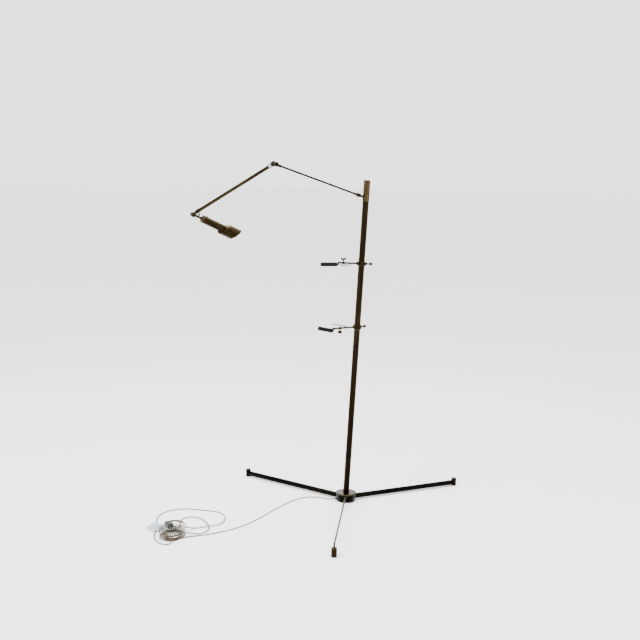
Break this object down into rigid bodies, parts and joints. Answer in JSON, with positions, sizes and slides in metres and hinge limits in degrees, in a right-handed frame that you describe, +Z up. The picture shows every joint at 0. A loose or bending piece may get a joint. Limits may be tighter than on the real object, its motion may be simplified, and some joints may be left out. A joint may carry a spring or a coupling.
{
  "type": "adjustable arm floor lamp",
  "caption": "Tripod floor lamp with a leaning mast, a jointed two-stage arm, a small tube head, two sliding picture clamps and a foot switch on its flex.",
  "frame": {"origin": "centre of the hub's underside, on the floor", "axes": "+Z up; -Y along the front leg; +X to the right of somebody who stands at the front leg's end and looks at the mast"},
  "size_m": [1.3732, 1.0305, 1.597],
  "materials": {
    "blackened_brass": "blackened patina, satin",
    "brown_brass": "dark brown patina over brass, satin",
    "olive_brass": "olive brown patina, satin",
    "sleeve_brass": "worn warm brass, satin",
    "clamp_brass": "dark worn brass, satin",
    "head_brass": "dark gilt brass, polished with patina",
    "dark_steel": "browned steel",
    "black_knob": "black phenolic, worn gloss",
    "leaf_steel": "light grey felt on thin steel",
    "felt": "grey felt",
    "glide_rubber": "matte",
    "socket_plastic": "dark phenolic",
    "bulb_glass": "frosted",
    "flex": "clear sleeve over a gilt twist",
    "switch_white": "white, moulded",
    "plug_dark": "dark brown, moulded"
  },
  "bodies": {
    "base": {"hub_body": "blackened_brass", "hub_cover": "olive_brass", "hub_base_plate": "blackened_brass", "hub_fasteners": "dark_steel", "cord_grommet": "glide_rubber", "leg_left": "blackened_brass", "leg_right": "blackened_brass", "rear_feet": "brown_brass", "foot_glides": "glide_rubber", "front_leg": "olive_brass", "front_leg_ferrule": "olive_brass", "front_foot": "brown_brass", "front_foot_cap": "olive_brass", "mast_tube": "brown_brass", "mast_spigot": "sleeve_brass", "mast_top_bush": "sleeve_brass", "cord_lead": "flex", "cord_coil": "flex", "cord_inner_loop": "flex", "cord_outer_loop": "flex", "cord_tail": "flex", "switch_base": "switch_white", "plug": "plug_dark"},
    "swivel": {"swivel_sleeve": "sleeve_brass", "swivel_stem": "sleeve_brass", "swivel_cap": "sleeve_brass", "shoulder_pin": "sleeve_brass"},
    "inner_arm": {"shoulder_tongue": "brown_brass", "inner_arm_tube": "brown_brass", "elbow_tongue": "brown_brass"},
    "outer_arm": {"elbow_knuckle": "brown_brass", "elbow_screw": "brown_brass", "outer_arm_rods": "dark_steel", "outer_arm_conduit": "olive_brass", "wrist_ferrule": "olive_brass", "wrist_screws": "dark_steel"},
    "elbow_nut": {"elbow_knob": "brown_brass"},
    "wrist": {"wrist_knuckle": "head_brass"},
    "head": {"head_cap": "head_brass", "shade": "head_brass", "lamp_holder": "socket_plastic", "head_screw": "dark_steel", "bulb": "bulb_glass"},
    "foot_button": {"switch_button": "switch_white"},
    "upper_slider": {"upper_liner": "clamp_brass"},
    "upper_clamp": {"upper_collar": "clamp_brass", "upper_arm": "clamp_brass"},
    "upper_lock": {"upper_lock_knob": "black_knob"},
    "upper_screw": {"upper_thumb_screw": "dark_steel"},
    "upper_flap": {"upper_leaf": "leaf_steel"},
    "upper_grip": {"upper_jaw": "clamp_brass", "upper_jaw_lining": "felt"},
    "lower_slider": {"lower_liner": "clamp_brass"},
    "lower_clamp": {"lower_collar": "clamp_brass", "lower_arm": "clamp_brass"},
    "lower_lock": {"lower_lock_knob": "black_knob"},
    "lower_screw": {"lower_thumb_screw": "dark_steel"},
    "lower_flap": {"lower_leaf": "leaf_steel"},
    "lower_grip": {"lower_jaw": "clamp_brass", "lower_jaw_lining": "felt"}
  },
  "joints": [
    {"name": "swivel_turn", "type": "hinge", "parent": "base", "child": "swivel", "pos_m": [0.0651, -0.03175, 1.4231], "axis": [0.047, -0.0229, 0.9986], "range_deg": [-175, 175]},
    {"name": "shoulder_tilt", "type": "hinge", "parent": "swivel", "child": "inner_arm", "pos_m": [0.06101, -0.03561, 1.44023], "axis": [-0.5772, 0.8153, 0.0459], "range_deg": [-40.8, 26]},
    {"name": "elbow_bend", "type": "hinge", "parent": "inner_arm", "child": "outer_arm", "pos_m": [-0.31322, -0.30867, 1.58382], "axis": [-0.5772, 0.8153, 0.0459], "range_deg": [-83, 107]},
    {"name": "elbow_knob_turn", "type": "hinge", "parent": "outer_arm", "child": "elbow_nut", "pos_m": [-0.31322, -0.30867, 1.58382], "axis": [0.5772, -0.8153, -0.0459], "continuous": true},
    {"name": "wrist_tilt", "type": "hinge", "parent": "outer_arm", "child": "wrist", "pos_m": [-0.61964, -0.51373, 1.37245], "axis": [-0.5772, 0.8153, 0.0459], "range_deg": [-14, 130]},
    {"name": "head_roll", "type": "hinge", "parent": "wrist", "child": "head", "pos_m": [-0.61964, -0.51373, 1.37245], "axis": [0.7333, 0.5423, -0.4101], "range_deg": [-170, 170]},
    {"name": "upper_slide", "type": "slide", "parent": "base", "child": "upper_slider", "axis": [0.047, -0.0229, 0.9986], "range_m": [-0.1, 0.13]},
    {"name": "upper_turn", "type": "hinge", "parent": "upper_slider", "child": "upper_clamp", "pos_m": [0.05172, -0.02523, 1.13899], "axis": [0.047, -0.0229, 0.9986], "continuous": true},
    {"name": "upper_lock_turn", "type": "hinge", "parent": "upper_clamp", "child": "upper_lock", "pos_m": [0.05172, -0.02523, 1.13899], "axis": [-0.9721, -0.2312, 0.0405], "continuous": true},
    {"name": "upper_screw_turn", "type": "hinge", "parent": "upper_clamp", "child": "upper_screw", "pos_m": [-0.03091, -0.04487, 1.14243], "axis": [-0.047, 0.0229, -0.9986], "range_deg": [-270, 1762]},
    {"name": "upper_flap_tilt", "type": "hinge", "parent": "upper_clamp", "child": "upper_flap", "pos_m": [-0.00112, -0.03754, 1.13369], "axis": [0.2299, -0.9726, -0.0332], "range_deg": [-2, 13]},
    {"name": "upper_grip_tilt", "type": "hinge", "parent": "upper_clamp", "child": "upper_grip", "pos_m": [-0.06433, -0.05255, 1.13582], "axis": [-0.2299, 0.9726, 0.0332], "range_deg": [-12.5, 17.5]},
    {"name": "lower_slide", "type": "slide", "parent": "base", "child": "lower_slider", "axis": [0.047, -0.0229, 0.9986], "range_m": [-0.6, 0.12]},
    {"name": "lower_turn", "type": "hinge", "parent": "lower_slider", "child": "lower_clamp", "pos_m": [0.03784, -0.01845, 0.8443], "axis": [0.047, -0.0229, 0.9986], "continuous": true},
    {"name": "lower_lock_turn", "type": "hinge", "parent": "lower_clamp", "child": "lower_lock", "pos_m": [0.03784, -0.01845, 0.8443], "axis": [-0.7539, -0.6567, 0.0204], "continuous": true},
    {"name": "lower_screw_turn", "type": "hinge", "parent": "lower_clamp", "child": "lower_screw", "pos_m": [-0.0368, -0.08346, 0.84632], "axis": [0.047, -0.0229, 0.9986], "range_deg": [-541, 1762]},
    {"name": "lower_flap_tilt", "type": "hinge", "parent": "lower_clamp", "child": "lower_flap", "pos_m": [-0.01609, -0.06591, 0.85326], "axis": [-0.6553, 0.7538, 0.0482], "range_deg": [-4, 13]},
    {"name": "lower_grip_tilt", "type": "hinge", "parent": "lower_clamp", "child": "lower_grip", "pos_m": [-0.07562, -0.11677, 0.83937], "axis": [-0.6553, 0.7538, 0.0482], "range_deg": [-27, 3]},
    {"name": "switch_press", "type": "slide", "parent": "base", "child": "foot_button", "axis": [0, 0, -1], "range_m": [0, 0.003], "stiffness_N_per_m": 600, "springref_m": -0.002}
  ],
  "couplings": [
    {"joint": "upper_flap_tilt", "follows": "upper_screw_turn", "ratio": 0.00737},
    {"joint": "lower_flap_tilt", "follows": "lower_screw_turn", "ratio": 0.00737}
  ]
}
